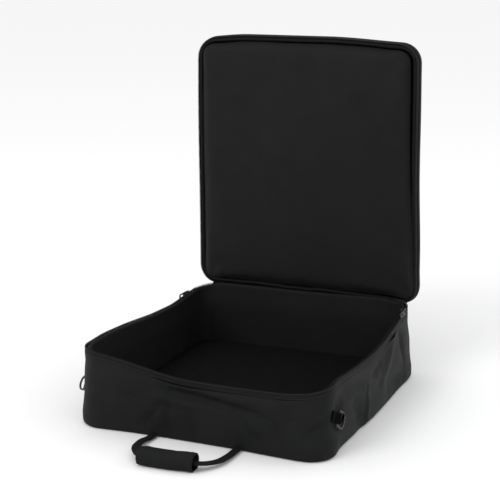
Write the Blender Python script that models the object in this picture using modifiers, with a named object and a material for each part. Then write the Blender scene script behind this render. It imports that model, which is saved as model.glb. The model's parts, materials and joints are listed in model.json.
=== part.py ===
"""Soft zip-up carry case for game miniatures: an open padded tub, a hinged padded lid, zip, handle and D-rings.

Units are metres, +Z is up and the case stands on its base panel at Z = 0. X is the width, and the front,
which carries the handle, faces -Y. The lid stands open: it closes by turning +90 degrees about the +X axis
at the top of the back wall.
"""

import math

import bmesh
import bpy
from mathutils import Euler, Matrix, Vector

# Driving dimensions of the tub
WIDTH = 0.320
DEPTH = 0.352
CORNER = 0.027
CORNER_STEPS = 5
GAP = 0.0003

# Sheet and foam thicknesses
SHELL = 0.0012
TAPE = 0.0016
LINING = 0.0009
WALL_FOAM = 0.0040
FOAM_INSET = 0.0023
FLOOR_TOP = 0.0182
FLOOR_EDGE = 0.0035
FLOOR_CORNER = 0.0180
FLOOR_ROUND = 0.0040

# Heights of the rim, measured from the ground
WALL_TOP = 0.0890
BOARD_TOP = 0.0930
LINING_TOP = 0.0955
TAPE_HEIGHT = 0.0043
CHAIN_HEIGHT = 0.0030
CHAIN_THICK = 0.0024
HINGE_Y = DEPTH / 2 + 0.0006
HINGE_Z = 0.0975
CHAIN_CLEAR = 0.0006
STRIP_INSET = 0.0020
STRIP_THICK = 0.0008
STRIP_Y = DEPTH / 2 - 0.0006
STRIP_HEIGHTS = (0.0934, 0.0990)

# Lid, measured from the hinge line: its length runs away from the hinge, its depth away from the opening
LID_WIDTH = 0.322
LID_LENGTH = 0.352
LID_FOOT = 0.0010
LID_CORNER = 0.026
LID_DEPTH = 0.0240
LID_BAND_START = 0.0088
LID_BORDER = 0.0071
WELT_RADIUS = 0.0026
WELT_DEPTH = 0.0056
LID_PAD_DEPTH = (0.0022, 0.0085)
LID_PAD_CORNER = 0.0170
LID_PAD_ROUND = 0.0025

# Carry handle at the foot of the front wall
WEBBING_WIDTH = 0.0100
WEBBING_THICK = 0.0026
HANDLE_AXIS = Vector((0.0, -0.1890, 0.0030))
ANCHOR_X = (-0.0585, 0.0525)
ANCHOR_LENGTH = 0.0110
HANDLE_START = 0.0013
GRIP_LEFT = Vector((-0.0392, -0.2560, 0.0094))
GRIP_RIGHT = Vector((0.0310, -0.2525, 0.0094))
GRIP_HALF_WIDE = 0.0105
GRIP_HALF_TALL = 0.0090
GRIP_HOLLOW = 0.0050
GRIP_SKIN = 0.0012
STRAP_CLEAR = 0.0007

# D-rings on short webbing tabs, one on each side wall
RING_BAR = (0.0048, -0.1460, 0.0445)
RING_TILT = math.radians(30)
RING_OUT_LEFT = math.radians(70)
RING_OUT_RIGHT = math.radians(10)
RING_LENGTH = 0.0230
RING_REACH = 0.0172
RING_STRAIGHT = 0.0088
RING_RAIL = 0.0024
RING_THICK = 0.0028
RING_SLOT = (0.0015, 0.0046)
RING_EYE = 0.0070
TAB_WIDTH = 0.0160
TAB_EYE = 0.0024
TAB_SHEET = 0.0014
TAB_PATCH = (0.0070, 0.0120)
TAB_PATCH_THICK = 0.0028
TAB_HEEL = 0.0016

# Zip sliders and their pulls, one on each side of the rim
SLIDER_Y = 0.1360
SLIDER_LENGTH = 0.0090
SLIDER_PLATE = 0.0010
SLIDER_CLEAR = 0.0004
SLIDER_HALF_TALL = 0.0036
SLIDER_INNER_DROP = 0.0006
SLIDER_WEB = 0.0006
SLIDER_WEB_SHARE = 0.7
SLIDER_BITE = 0.0001
BRIDGE_HALF = 0.0032
BRIDGE_RISE = 0.0022
BRIDGE_BAR = 0.0010
BRIDGE_WIDTH = 0.0018
PULL_LENGTH = 0.0240
PULL_WIDTH = 0.0070
PULL_THICK = 0.0012
PULL_WINDOW = (0.0006, 0.0054, 0.0026)
PULL_SLOT = (0.0090, 0.0030)
PULL_SLOT_FROM_END = 0.0080

MATERIALS = {
    "case_fabric": ((0.021, 0.022, 0.023), 0.82, 0.0),
    "lining_fabric": ((0.013, 0.013, 0.014), 0.90, 0.0),
    "foam": ((0.030, 0.030, 0.032), 0.95, 0.0),
    "webbing": ((0.018, 0.018, 0.019), 0.80, 0.0),
    "binding": ((0.024, 0.024, 0.026), 0.75, 0.0),
    "zip_coil": ((0.030, 0.030, 0.032), 0.40, 0.0),
    "ring_plastic": ((0.035, 0.035, 0.037), 0.35, 0.0),
    "slider_metal": ((0.040, 0.041, 0.043), 0.38, 0.8),
}


def clear_scene():
    for obj in list(bpy.data.objects):
        bpy.data.objects.remove(obj, do_unlink=True)


def make_material(name):
    colour, roughness, metallic = MATERIALS[name]
    material = bpy.data.materials.new(name)
    material.use_nodes = True
    shader = material.node_tree.nodes["Principled BSDF"]
    shader.inputs["Base Color"].default_value = (*colour, 1.0)
    shader.inputs["Roughness"].default_value = roughness
    shader.inputs["Metallic"].default_value = metallic
    return material


def add_object(name, data, material, parent=None):
    """Puts an object in the case's collection, with its own copy of a material."""
    obj = bpy.data.objects.new(name, data)
    own = materials[material].copy()
    own.name = name + "_" + material
    data.materials.append(own)
    parts.objects.link(obj)
    obj.parent = parent
    return obj


def add_pivot(name, location, rotation=(0.0, 0.0, 0.0), parent=None):
    pivot = bpy.data.objects.new(name, None)
    pivot.empty_display_size = 0.02
    pivot.location = location
    pivot.rotation_euler = rotation
    pivot.parent = parent
    parts.objects.link(pivot)
    return pivot


def arc(centre, radius, start, end, steps):
    """Points of an arc, its angles in degrees."""
    points = []
    for i in range(steps + 1):
        angle = math.radians(start + (end - start) * i / steps)
        points.append((centre[0] + radius * math.cos(angle), centre[1] + radius * math.sin(angle)))
    return points


def rounded_outline(width, depth, radius, centre_y=0.0, inset=0.0):
    """A rounded rectangle, counterclockwise. It starts and ends on the back side, which an open band leaves out."""
    half_x = width / 2 - radius
    half_y = depth / 2 - radius
    corners = ((-half_x, half_y, 90), (-half_x, -half_y, 180), (half_x, -half_y, 270), (half_x, half_y, 360))
    points = []
    for x, y, start in corners:
        points += arc((x, y + centre_y), radius - inset, start, start + 90, CORNER_STEPS)
    return points


def turned_back(outline, centre_y):
    """The same outline, mirrored about its middle, so that an open band leaves out the side nearest the hinge."""
    return [(-x, 2 * centre_y - y) for x, y in outline]


def solidify(obj, thickness):
    modifier = obj.modifiers.new("thickness", "SOLIDIFY")
    modifier.thickness = thickness
    modifier.offset = -1.0
    modifier.use_even_offset = True


def bevel(obj, width, segments=2):
    modifier = obj.modifiers.new("soft edge", "BEVEL")
    modifier.width = width
    modifier.segments = segments
    modifier.limit_method = "ANGLE"
    modifier.angle_limit = math.radians(40)


def band(name, outline, low, high, thickness, material, closed=True, parent=None):
    """A strip of sheet on edge along an outline, its outer face on the outline and its thickness inwards."""
    mesh = bpy.data.meshes.new(name)
    bm = bmesh.new()
    foot = [bm.verts.new((x, y, low)) for x, y in outline]
    pairs = list(zip(foot, foot[1:] + foot[:1]))
    edges = [bm.edges.new(pair) for pair in (pairs if closed else pairs[:-1])]
    raised = bmesh.ops.extrude_edge_only(bm, edges=edges)["geom"]
    rise = Vector((0.0, 0.0, high - low))
    bmesh.ops.translate(bm, verts=[v for v in raised if isinstance(v, bmesh.types.BMVert)], vec=rise)
    bmesh.ops.recalc_face_normals(bm, faces=bm.faces)
    bm.normal_update()
    middle = sum((v.co for v in bm.verts), Vector()) / len(bm.verts)
    outward = sum((f.calc_center_median() - middle).dot(f.normal) for f in bm.faces)
    if outward < 0:
        bmesh.ops.reverse_faces(bm, faces=bm.faces)
    bm.to_mesh(mesh)
    bm.free()
    obj = add_object(name, mesh, material, parent)
    solidify(obj, thickness)
    return obj


def plate(name, outlines, thickness, material, matrix=None, parent=None):
    """A flat outline with any holes, its thickness centred on its local XY plane."""
    curve = bpy.data.curves.new(name, "CURVE")
    curve.dimensions = "2D"
    curve.fill_mode = "BOTH"
    curve.extrude = thickness / 2
    for outline in outlines:
        spline = curve.splines.new("POLY")
        spline.points.add(len(outline) - 1)
        for point, (x, y) in zip(spline.points, outline):
            point.co = (x, y, 0.0, 1.0)
        spline.use_cyclic_u = True
    obj = add_object(name, curve, material, parent)
    if matrix is not None:
        obj.matrix_local = matrix
    return obj


def tube(name, points, radius, material, closed=True, parent=None):
    curve = bpy.data.curves.new(name, "CURVE")
    curve.dimensions = "3D"
    curve.bevel_depth = radius
    curve.bevel_resolution = 2
    curve.use_fill_caps = True
    spline = curve.splines.new("POLY")
    spline.points.add(len(points) - 1)
    for point, co in zip(spline.points, points):
        point.co = (*co, 1.0)
    spline.use_cyclic_u = closed
    return add_object(name, curve, material, parent)


def rounded_block(name, size, corner, centre, material, parent=None):
    """A box whose upright edges are rounded, as a mesh."""
    mesh = bpy.data.meshes.new(name)
    bm = bmesh.new()
    bmesh.ops.create_cube(bm, size=1.0, matrix=Matrix.LocRotScale(centre, None, size))
    upright = [e for e in bm.edges if abs((e.verts[0].co - e.verts[1].co).z) > size[2] / 2]
    bmesh.ops.bevel(bm, geom=upright, offset=corner, segments=CORNER_STEPS, profile=0.5, affect="EDGES")
    bm.to_mesh(mesh)
    bm.free()
    return add_object(name, mesh, material, parent)


def box(name, size, centre, material, parent=None):
    mesh = bpy.data.meshes.new(name)
    bm = bmesh.new()
    bmesh.ops.create_cube(bm, size=1.0, matrix=Matrix.Diagonal((*size, 1.0)))
    bm.to_mesh(mesh)
    bm.free()
    obj = add_object(name, mesh, material, parent)
    obj.location = centre
    return obj


def open_underside(obj):
    """Removes the lowest face of a block, which leaves a cap that covers the pad under it."""
    bm = bmesh.new()
    bm.from_mesh(obj.data)
    lowest = min(bm.faces, key=lambda face: face.calc_center_median().z)
    bmesh.ops.delete(bm, geom=[lowest], context="FACES_ONLY")
    bm.to_mesh(obj.data)
    bm.free()


def make_base():
    """The ground panel, the outer walls and the panel that carries the hinge."""
    outline = rounded_outline(WIDTH, DEPTH, CORNER)
    plate("base_panel", [outline], SHELL, "case_fabric", Matrix.Translation((0, 0, SHELL / 2)))
    band("gusset_wall", outline, SHELL + GAP, WALL_TOP, SHELL, "case_fabric", closed=False)
    half = WIDTH / 2 - CORNER - GAP
    size = (2 * half, SHELL, BOARD_TOP - SHELL - GAP)
    centre = (0.0, DEPTH / 2 - SHELL / 2, SHELL + GAP + size[2] / 2)
    box("back_wall", size, centre, "case_fabric")


def make_wall_foam():
    """A flat foam board behind each wall; the corners stay soft."""
    low = SHELL + GAP
    inset = FOAM_INSET + WALL_FOAM / 2
    long_side = DEPTH - 2 * CORNER
    short_side = WIDTH - 2 * CORNER
    height = BOARD_TOP - low
    middle = (low + BOARD_TOP) / 2
    for side, name in ((-1, "foam_left"), (1, "foam_right")):
        box(name, (WALL_FOAM, long_side, height), (side * (WIDTH / 2 - inset), 0.0, middle), "foam")
    for side, name in ((-1, "foam_front"), (1, "foam_back")):
        box(name, (short_side, WALL_FOAM, height), (0.0, side * (DEPTH / 2 - inset), middle), "foam")


def make_lining():
    """The lining round the walls, and the padded floor inside it."""
    low = SHELL + GAP
    inset = FOAM_INSET + WALL_FOAM + GAP
    outline = rounded_outline(WIDTH, DEPTH, CORNER, inset=inset)
    band("wall_lining", outline, low, LINING_TOP, LINING, "lining_fabric")
    edge = inset + LINING + FLOOR_EDGE
    size = Vector((WIDTH - 2 * edge, DEPTH - 2 * edge, FLOOR_TOP - low))
    floor = rounded_block("floor_lining", size, FLOOR_CORNER, (0, 0, low + size.z / 2), "lining_fabric")
    open_underside(floor)
    bevel(floor, FLOOR_ROUND)
    solidify(floor, LINING)
    size -= Vector((2 * FLOOR_ROUND, 2 * FLOOR_ROUND, LINING + GAP))
    rounded_block("floor_foam", size, FLOOR_CORNER - FLOOR_ROUND, (0, 0, low + size.z / 2), "foam")


def make_lower_zip():
    """The bound rim with the tub's half of the zip, both open at the back."""
    tape = rounded_outline(WIDTH, DEPTH, CORNER, inset=(CHAIN_THICK - TAPE) / 2)
    low = WALL_TOP + GAP
    band("rim_tape", tape, low, low + TAPE_HEIGHT, TAPE, "binding", closed=False)
    chain = rounded_outline(WIDTH, DEPTH, CORNER)
    top = HINGE_Z - CHAIN_CLEAR
    band("zip_chain_lower", chain, top - CHAIN_HEIGHT, top, CHAIN_THICK, "zip_coil", closed=False)
    strip_low, strip_high = STRIP_HEIGHTS
    size = (WIDTH - 2 * CORNER - 2 * STRIP_INSET, STRIP_THICK, strip_high - strip_low)
    box("hinge_strip", size, (0.0, STRIP_Y, (strip_low + strip_high) / 2), "binding")


def make_lid():
    """The padded lid. Its own XY plane is the closing plane, with the hinge line on local X and depth down -Z."""
    pivot = add_pivot("lid_pivot", (0.0, HINGE_Y, HINGE_Z), (math.radians(90), 0.0, 0.0))
    middle = LID_FOOT + LID_LENGTH / 2
    outline = rounded_outline(LID_WIDTH, LID_LENGTH, LID_CORNER, centre_y=middle)
    cover_at = Matrix.Translation((0, 0, -LID_DEPTH + SHELL / 2))
    plate("lid_cover", [outline], SHELL, "case_fabric", cover_at, pivot)
    band_end = -LID_DEPTH + SHELL + GAP
    band("lid_gusset", outline, band_end, -LID_BAND_START, SHELL, "case_fabric", parent=pivot)
    inset = SHELL + GAP
    foam = rounded_outline(LID_WIDTH, LID_LENGTH, LID_CORNER, centre_y=middle, inset=inset)
    foam_thick = -LID_BAND_START - band_end
    plate("lid_foam", [foam], foam_thick, "foam", Matrix.Translation((0, 0, band_end + foam_thick / 2)), pivot)

    edge = LID_BORDER + WELT_RADIUS + GAP
    size = (LID_WIDTH - 2 * edge, LID_LENGTH - 2 * edge, LID_PAD_DEPTH[1] - LID_PAD_DEPTH[0])
    centre = (0.0, middle, -(LID_PAD_DEPTH[0] + LID_PAD_DEPTH[1]) / 2)
    pad = rounded_block("lid_lining", size, LID_PAD_CORNER, centre, "lining_fabric", pivot)
    bevel(pad, LID_PAD_ROUND)

    welt = rounded_outline(LID_WIDTH, LID_LENGTH, LID_CORNER, centre_y=middle, inset=LID_BORDER)
    tube("lid_welt", [(x, y, -WELT_DEPTH) for x, y in welt], WELT_RADIUS, "binding", parent=pivot)

    zip_middle = HINGE_Y
    chain = turned_back(rounded_outline(WIDTH, DEPTH, CORNER, centre_y=zip_middle), zip_middle)
    top = -CHAIN_CLEAR
    band("zip_chain_upper", chain, top - CHAIN_HEIGHT, top, CHAIN_THICK, "zip_coil", False, pivot)
    inset = (CHAIN_THICK - TAPE) / 2
    tape = turned_back(rounded_outline(WIDTH, DEPTH, CORNER, zip_middle, inset), zip_middle)
    top = -CHAIN_CLEAR - CHAIN_HEIGHT - GAP
    band("zip_tape_upper", tape, -LID_BAND_START + GAP, top, TAPE, "binding", False, pivot)


def ellipse(half_x, half_y, steps=20):
    return [(half_x * x, half_y * y) for x, y in arc((0.0, 0.0), 1.0, 0, 360 - 360 / steps, steps - 1)]


def slot_outline(length, height):
    """A slot with round ends, about the origin."""
    reach = (length - height) / 2
    return arc((reach, 0.0), height / 2, -90, 90, 4) + arc((-reach, 0.0), height / 2, 90, 270, 4)


def smooth_route(points, steps):
    """Points along a smooth curve through the given ones."""
    route = []
    last = len(points) - 1
    for i in range(last):
        before, start, end, after = (points[min(max(k, 0), last)] for k in (i - 1, i, i + 1, i + 2))
        for step in range(steps):
            t = step / steps
            a = 2 * start
            b = (end - before) * t
            c = (2 * before - 5 * start + 4 * end - after) * t * t
            d = (3 * start - before - 3 * end + after) * t * t * t
            route.append((a + b + c + d) / 2)
    return route + [points[-1]]


def flat_webbing(name, points, parent):
    """A strap lying flat along a route, with rounded edges."""
    curve = bpy.data.curves.new(name, "CURVE")
    curve.dimensions = "3D"
    curve.twist_mode = "Z_UP"
    curve.extrude = (WEBBING_WIDTH - WEBBING_THICK) / 2
    curve.bevel_depth = WEBBING_THICK / 2
    curve.bevel_resolution = 1
    curve.use_fill_caps = True
    spline = curve.splines.new("POLY")
    spline.points.add(len(points) - 1)
    for point, co in zip(spline.points, points):
        point.co = (*co, 1.0)
        point.tilt = math.radians(90)
    return add_object(name, curve, "webbing", parent)


def make_handle():
    """Two sewn-in strap ends on the case, and the loop with its padded grip that swings between them."""
    wall = -DEPTH / 2 - GAP
    for side, x in zip(("left", "right"), ANCHOR_X):
        size = (WEBBING_WIDTH, ANCHOR_LENGTH, WEBBING_THICK)
        box("handle_anchor_" + side, size, (x, wall - ANCHOR_LENGTH / 2, HANDLE_AXIS.z), "webbing")

    pivot = add_pivot("handle_pivot", HANDLE_AXIS)
    along = (GRIP_RIGHT - GRIP_LEFT).normalized()
    start_y = HANDLE_AXIS.y - HANDLE_START
    route = [
        Vector((ANCHOR_X[0], start_y, HANDLE_AXIS.z)),
        Vector((-0.0603, -0.2030, 0.0038)),
        Vector((-0.0605, -0.2190, 0.0056)),
        Vector((-0.0590, -0.2350, 0.0078)),
        Vector((-0.0535, -0.2490, 0.0090)),
        GRIP_LEFT - 0.0040 * along,
        GRIP_LEFT + 0.0070 * along,
        GRIP_LEFT + 0.0200 * along,
        GRIP_RIGHT - 0.0200 * along,
        GRIP_RIGHT - 0.0060 * along,
        GRIP_RIGHT + 0.0030 * along,
        Vector((0.0425, -0.2440, 0.0076)),
        Vector((0.0498, -0.2290, 0.0056)),
        Vector((0.0522, -0.2080, 0.0038)),
        Vector((ANCHOR_X[1], start_y, HANDLE_AXIS.z)),
    ]
    flat_webbing("handle_webbing", [p - HANDLE_AXIS for p in smooth_route(route, 3)], pivot)

    heading = math.radians(90) + math.atan2(along.y, along.x)
    crosswise = Euler((math.radians(90), 0.0, heading)).to_matrix().to_4x4()
    placed = Matrix.Translation((GRIP_LEFT + GRIP_RIGHT) / 2 - HANDLE_AXIS) @ crosswise
    length = (GRIP_RIGHT - GRIP_LEFT).length
    inner = (GRIP_HALF_WIDE - GRIP_SKIN, GRIP_HALF_TALL - GRIP_SKIN)
    skin = [ellipse(GRIP_HALF_WIDE, GRIP_HALF_TALL), ellipse(*inner)]
    plate("grip_wrap", skin, length, "case_fabric", placed, pivot)
    hole = slot_outline(WEBBING_WIDTH + 2 * STRAP_CLEAR, WEBBING_THICK + 2 * STRAP_CLEAR)
    pad = [ellipse(inner[0] - GAP, inner[1] - GAP), hole]
    plate("grip_pad", pad, length - 2 * GRIP_HOLLOW, "foam", placed, pivot)


def d_outline(near, far, half):
    """A D: straight along its bar, with a half ellipse at its far end."""
    bow = arc((0.0, 0.0), 1.0, -90, 90, 10)
    reach = far - RING_STRAIGHT
    return [(near, half), (near, -half)] + [(RING_STRAIGHT + reach * x, half * y) for x, y in bow]


def tab_outline():
    """The edge of a webbing tab: round the ring's bar, then down to a patch on the wall, in front of it."""
    foot = GAP - RING_BAR[0]
    top = foot + TAB_PATCH_THICK
    bend = arc((0.0, 0.0), TAB_EYE + TAB_SHEET, 155, 380, 12)
    return bend + [(top, TAB_PATCH[0]), (top, TAB_PATCH[1]), (foot, TAB_PATCH[1]), (foot, TAB_HEEL)]


def make_rings():
    """A ladder D-ring on each side, its bar held in the eye of a short webbing tab."""
    half = RING_LENGTH / 2
    inside = half - RING_RAIL
    near, far = RING_SLOT
    slot = [(near, inside), (near, -inside), (far, -inside), (far, inside)]
    ring = [d_outline(-near, RING_REACH, half), slot, d_outline(RING_EYE, RING_REACH - RING_RAIL, inside)]
    outward, bar_y, bar_z = RING_BAR
    for side, name, out in ((-1, "left", RING_OUT_LEFT), (1, "right", RING_OUT_RIGHT)):
        bar = (side * (WIDTH / 2 + outward), bar_y, bar_z)
        pivot = add_pivot("ring_pivot_" + name, bar, (-RING_TILT, 0.0, 0.0))
        edge = [(side * x, -y) for x, y in tab_outline()]
        plate("ring_tab_" + name, [edge, ellipse(TAB_EYE, TAB_EYE, 12)], TAB_WIDTH, "webbing", parent=pivot)
        heading = math.radians(90) - side * out
        stand = Euler((math.radians(90), 0.0, heading)).to_matrix().to_4x4()
        plate("d_ring_" + name, ring, RING_THICK, "ring_plastic", stand, pivot)


def joined_boxes(name, boxes, material, parent):
    """Boxes given as (low corner, high corner), joined into one body with exact Booleans."""
    target = None
    for index, (low, high) in enumerate(boxes):
        low = Vector(low)
        high = Vector(high)
        piece = box(f"{name}_{index}", high - low, (low + high) / 2, material, parent)
        if target is None:
            target = piece
            target.name = name
            continue
        parts.objects.unlink(piece)
        cutters.objects.link(piece)
        piece.hide_render = True
        piece.display_type = "WIRE"
        modifier = target.modifiers.new("join", "BOOLEAN")
        modifier.operation = "UNION"
        modifier.object = piece
    return target


def sorted_box(low, high, side):
    """The box mirrored to its side of the case, its corners still in order."""
    xs = sorted((side * low[0], side * high[0]))
    return (xs[0], low[1], low[2]), (xs[1], high[1], high[2])


def make_sliders():
    """A zip slider on each side rim, straddling the chain, with a pull hinged under its bridge."""
    bite = SLIDER_BITE
    half = SLIDER_LENGTH / 2
    web = half * SLIDER_WEB_SHARE
    face = SLIDER_CLEAR + SLIDER_PLATE
    back = CHAIN_THICK + SLIDER_CLEAR
    tall = SLIDER_HALF_TALL
    short = tall - SLIDER_INNER_DROP
    rise = face + BRIDGE_RISE
    wide = BRIDGE_WIDTH / 2
    body = [
        ((SLIDER_CLEAR, -half, -tall), (face, half, tall)),
        ((-back - SLIDER_PLATE, -half, -short), (-back, half, short)),
        ((-back - bite, -web, -SLIDER_WEB / 2), (SLIDER_CLEAR + bite, web, SLIDER_WEB / 2)),
        ((face - bite, -BRIDGE_HALF - BRIDGE_BAR, -wide), (rise + bite, -BRIDGE_HALF, wide)),
        ((face - bite, BRIDGE_HALF, -wide), (rise + bite, BRIDGE_HALF + BRIDGE_BAR, wide)),
        ((rise, -BRIDGE_HALF - BRIDGE_BAR, -wide), (rise + BRIDGE_BAR, BRIDGE_HALF + BRIDGE_BAR, wide)),
    ]
    near, far, window = PULL_WINDOW
    end = PULL_WIDTH / 2
    outline = [(-near, end), (-near, -end)] + arc((PULL_LENGTH - end, 0.0), end, -90, 90, 8)
    frame = [(near, window / 2), (near, -window / 2), (far, -window / 2), (far, window / 2)]
    finger = [(x + PULL_LENGTH - PULL_SLOT_FROM_END, y) for x, y in slot_outline(*PULL_SLOT)]
    for side, name in ((-1, "left"), (1, "right")):
        at = (side * WIDTH / 2, SLIDER_Y, HINGE_Z)
        pivot = add_pivot("slider_pivot_" + name, at)
        turned = [sorted_box(low, high, side) for low, high in body]
        joined_boxes("slider_" + name, turned, "slider_metal", pivot)
        hinge = (side * (face + BRIDGE_RISE / 2), 0.0, 0.0)
        pull_pivot = add_pivot("pull_pivot_" + name, hinge, parent=pivot)
        hang = Euler((math.radians(90), 0.0, math.radians(-90))).to_matrix().to_4x4()
        plate("zip_pull_" + name, [outline, frame, finger], PULL_THICK, "slider_metal", hang, pull_pivot)


clear_scene()
parts = bpy.data.collections.new("miniature_carry_case")
bpy.context.scene.collection.children.link(parts)
cutters = bpy.data.collections.new("cutters")
bpy.context.scene.collection.children.link(cutters)
materials = {name: make_material(name) for name in MATERIALS}
make_base()
make_wall_foam()
make_lining()
make_lower_zip()
make_lid()
make_handle()
make_rings()
make_sliders()
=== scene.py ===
"""Looks of the miniature carry case: soft woven shell, padded lid and floor, zip, webbing handle and D-rings.

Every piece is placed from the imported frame. Units are metres, +Z is up and the front faces -Y.
"""

import json
import math

import bmesh
import bpy
import numpy as np
from mathutils import Matrix, Vector, noise


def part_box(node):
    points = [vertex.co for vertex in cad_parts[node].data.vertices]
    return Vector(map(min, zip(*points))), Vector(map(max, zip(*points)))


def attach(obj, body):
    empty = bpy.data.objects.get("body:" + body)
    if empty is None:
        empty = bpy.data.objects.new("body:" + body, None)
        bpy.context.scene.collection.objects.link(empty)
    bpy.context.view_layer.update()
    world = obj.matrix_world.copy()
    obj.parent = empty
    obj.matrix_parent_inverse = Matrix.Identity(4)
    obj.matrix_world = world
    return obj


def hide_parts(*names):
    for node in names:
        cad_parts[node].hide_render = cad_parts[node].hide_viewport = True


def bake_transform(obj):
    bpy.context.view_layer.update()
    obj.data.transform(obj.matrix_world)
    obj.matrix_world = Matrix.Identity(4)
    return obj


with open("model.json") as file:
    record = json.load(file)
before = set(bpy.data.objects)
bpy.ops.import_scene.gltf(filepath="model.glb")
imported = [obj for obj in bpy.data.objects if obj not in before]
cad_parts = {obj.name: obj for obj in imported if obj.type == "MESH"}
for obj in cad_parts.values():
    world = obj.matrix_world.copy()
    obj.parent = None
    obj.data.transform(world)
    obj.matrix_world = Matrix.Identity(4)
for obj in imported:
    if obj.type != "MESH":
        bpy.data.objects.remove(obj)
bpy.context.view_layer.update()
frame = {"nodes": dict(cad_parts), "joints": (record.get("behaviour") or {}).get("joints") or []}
JOINTS = {joint["name"]: joint for joint in frame["joints"]}
UP = np.array((0.0, 0.0, 1.0))
MM = 0.001

# Sizes read from the frame
BASE_LOW, BASE_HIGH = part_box("base_panel")
WIDTH = BASE_HIGH.x - BASE_LOW.x
DEPTH = BASE_HIGH.y - BASE_LOW.y
RIM_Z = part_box("zip_chain_lower")[1].z
WALL_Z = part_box("gusset_wall")[1].z
HINGE = Vector(JOINTS["lid_hinge"]["pos_m"])
LID_LOW, LID_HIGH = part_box("lid_cover")
LID_WIDTH = LID_HIGH.x - LID_LOW.x
LID_LENGTH = LID_HIGH.z - LID_LOW.z
LID_MIDDLE = (LID_HIGH.z + LID_LOW.z) / 2
LID_BACK = LID_HIGH.y - HINGE.y

# Shapes that only the looks need
CORNER = 0.027
LID_CORNER = 0.026
SOFT_FOOT = 0.0050
LINING_INSET = 0.0066
PANEL_INSET = 0.0078
PANEL_RISE = 0.0036
PANEL_CROWN = 0.0042

# How far each slider is lowered from its CAD place, to straddle the slack rim
SLIDER_SETTLE = {"left": -0.0085, "right": 0.0}

# Hollow of the wall at each D-ring: radius, then how far its middle lies behind and above the bar
RING_HOLLOW = 0.0056
HOLLOWS = {"left": (0.0225, 0.0050, -0.0030), "right": (0.0165, -0.0010, 0.0020)}

# Upright folds of the lining near the tub's corners, in millimetres: x, y, width, depth inwards
CORNER_FOLDS = (
    (-118, 172, 4, -4),
    (-128, 168, 4.5, 7),
    (-140, 163, 4.2, -5.6),
    (-150, 140, 7, 4.6),
    (140, 165, 6, 2.4),
    (150, 148, 5, -1.5),
    (-148, -150, 8, 2),
)
GRID_STEP = 0.004
WALL_BULGE = 0.0022
CLOTH_REACH = 0.004
ZIP_INSET = 0.0012
COIL_PITCH, COIL_GAUGE, COIL_STEPS = 0.0024, 0.00042, 7
COIL_HALF = (0.0008, 0.0010)
STITCH_PITCH, STITCH_SHARE, STITCH_RADIUS = 0.0034, 0.68, 0.00032
STRAP_THICKNESS = 0.0028
CLOTH = {
    "quality": 6, "mass": 0.15, "bending_model": "ANGULAR", "air_damping": 4,
    "tension_stiffness": 20, "compression_stiffness": 20, "shear_stiffness": 8,
}
TAB_WIDTH, TAB_THICKNESS, TAB_RADIUS = 0.0128, 0.0013, 0.0031

# The grip, and where it has slid on its strap
GRIP_LENGTH = 0.0690
GRIP_SKEW = 0.0035
GRIP_SHIFT = np.array((0.0010, 0.0, 0.0))
GRIP_HALF_WIDE = 0.0107

# How the D-rings' looks differ from their CAD solids, and the hollow where the turned-back lid rests
RING_LEAN = math.radians(-8)
RING_SHARE = 0.90
LID_NICHE = 0.0024

# Slack of the soft wall at places round the tub, in millimetres: how far its rim hangs below the CAD height and
# leans out, and how far its foot stands out
WALL_SHAPE = (
    # x, y, hang, lean, foot
    (0, 176, -1.8, 0, 0),
    (-133, 176, -3, -1.5, 0),
    (-152, 168, 0.2, -3.5, 1),
    (-160, 136, 3.6, -1.6, 3),
    (-160, 75, 7.8, -1.5, 4),
    (-160, 15, 6, 1, 4.5),
    (-160, -50, 1, 4, 4.5),
    (-160, -109, -2.2, 5, 4.5),
    (-152, -168, -2, 2.5, 8),
    (-123, -176, 1, 3, 6),
    (-95, -176, 5.2, 3.5, 3.5),
    (-68, -176, 10, 5, 3),
    (-36, -176, 15.8, 6, 3),
    (0, -176, 17.8, 7, 3.5),
    (44, -176, 17.6, 8, 4.5),
    (80, -176, 17.4, 8, 7.5),
    (106, -176, 17.4, 8, 9),
    (128, -176, 15.5, 7.5, 10.6),
    (152, -168, 10.5, 3.5, 8.5),
    (160, -137, 7.5, 2, 2.6),
    (160, -79, 10.5, 5, 5),
    (160, -18, 12, 7.5, 9.2),
    (160, 33, 10, 7, 9.2),
    (160, 92, 4.8, 4.5, 8.8),
    (160, 136, -0.8, 2.5, 9.8),
    (152, 168, -6.5, 0.5, 7.5),
    (133, 176, -4.8, -1, 1),
)

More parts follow.
